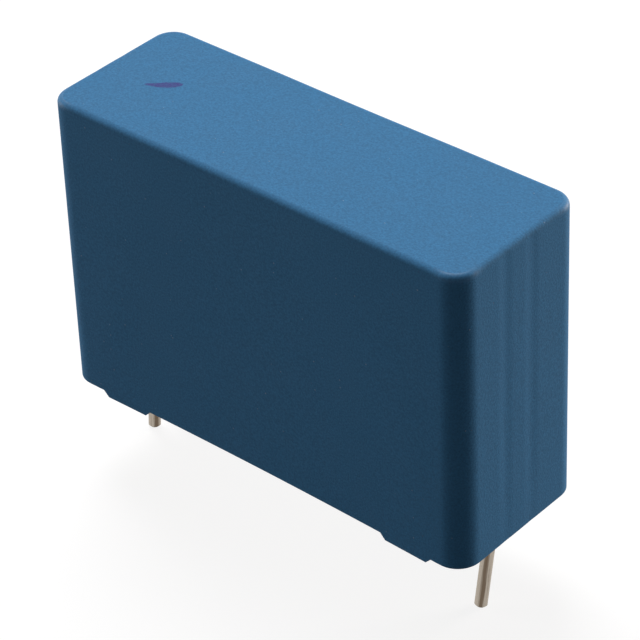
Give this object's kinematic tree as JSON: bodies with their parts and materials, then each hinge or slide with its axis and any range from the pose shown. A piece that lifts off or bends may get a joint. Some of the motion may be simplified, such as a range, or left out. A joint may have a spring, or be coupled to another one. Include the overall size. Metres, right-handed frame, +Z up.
{
  "type": "box film capacitor",
  "caption": "Potted film capacitor in a blue rectangular plastic box with rounded edges, low standoff feet and tinned wire leads for through-hole mounting on a circuit board.",
  "frame": {"origin": "middle of the footprint, on the plane of the circuit board that the four feet stand on", "axes": "+X along the row of leads, +Z up from the board towards the closed top of the case, -Y is the front long wall, towards which the leads lean"},
  "size_m": [0.0314, 0.011, 0.0266],
  "materials": {
    "case_plastic": "moulded, fine matte grain",
    "potting_resin": "poured and cured, satin",
    "metallised_film": "wound film",
    "plain_film": "clear film, smooth",
    "sprayed_zinc": "rough sprayed metal",
    "weld_metal": "smooth, as it set",
    "tinned_wire": "tinned, slightly dull"
  },
  "bodies": {
    "root": {"case": "case_plastic", "resin_fill": "potting_resin", "winding": "metallised_film", "film_wrap": "plain_film", "end_spray_left": "sprayed_zinc", "end_spray_right": "sprayed_zinc", "weld_left": "weld_metal", "weld_right": "weld_metal", "lead_left": "tinned_wire", "lead_right": "tinned_wire"}
  },
  "joints": []
}
